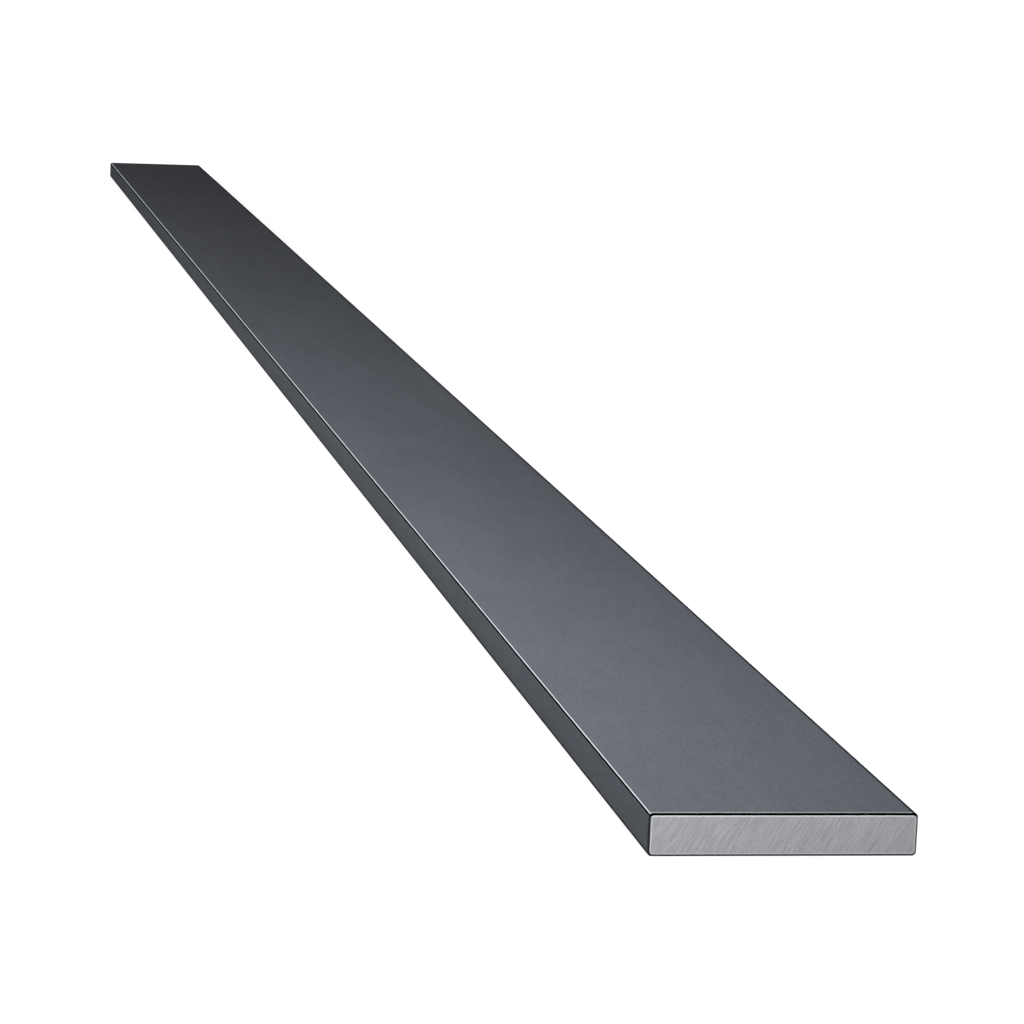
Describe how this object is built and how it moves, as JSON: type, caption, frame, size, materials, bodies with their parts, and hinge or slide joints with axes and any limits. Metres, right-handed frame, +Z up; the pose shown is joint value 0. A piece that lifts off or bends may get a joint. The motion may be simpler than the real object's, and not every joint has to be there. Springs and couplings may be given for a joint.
{
  "type": "metal flat bar",
  "caption": "Straight length of rolled rectangular steel flat bar with small rounded long corners and square sawn ends, for brackets, braces and frames.",
  "frame": {"origin": "middle of the wide face that the bar lies on", "axes": "+X along the length, +Y across the width, +Z up through the thickness"},
  "size_m": [1.5, 0.05, 0.008],
  "materials": {
    "hot_rolled_steel": "satin"
  },
  "bodies": {
    "root": {"flat_bar": "hot_rolled_steel"}
  },
  "joints": []
}
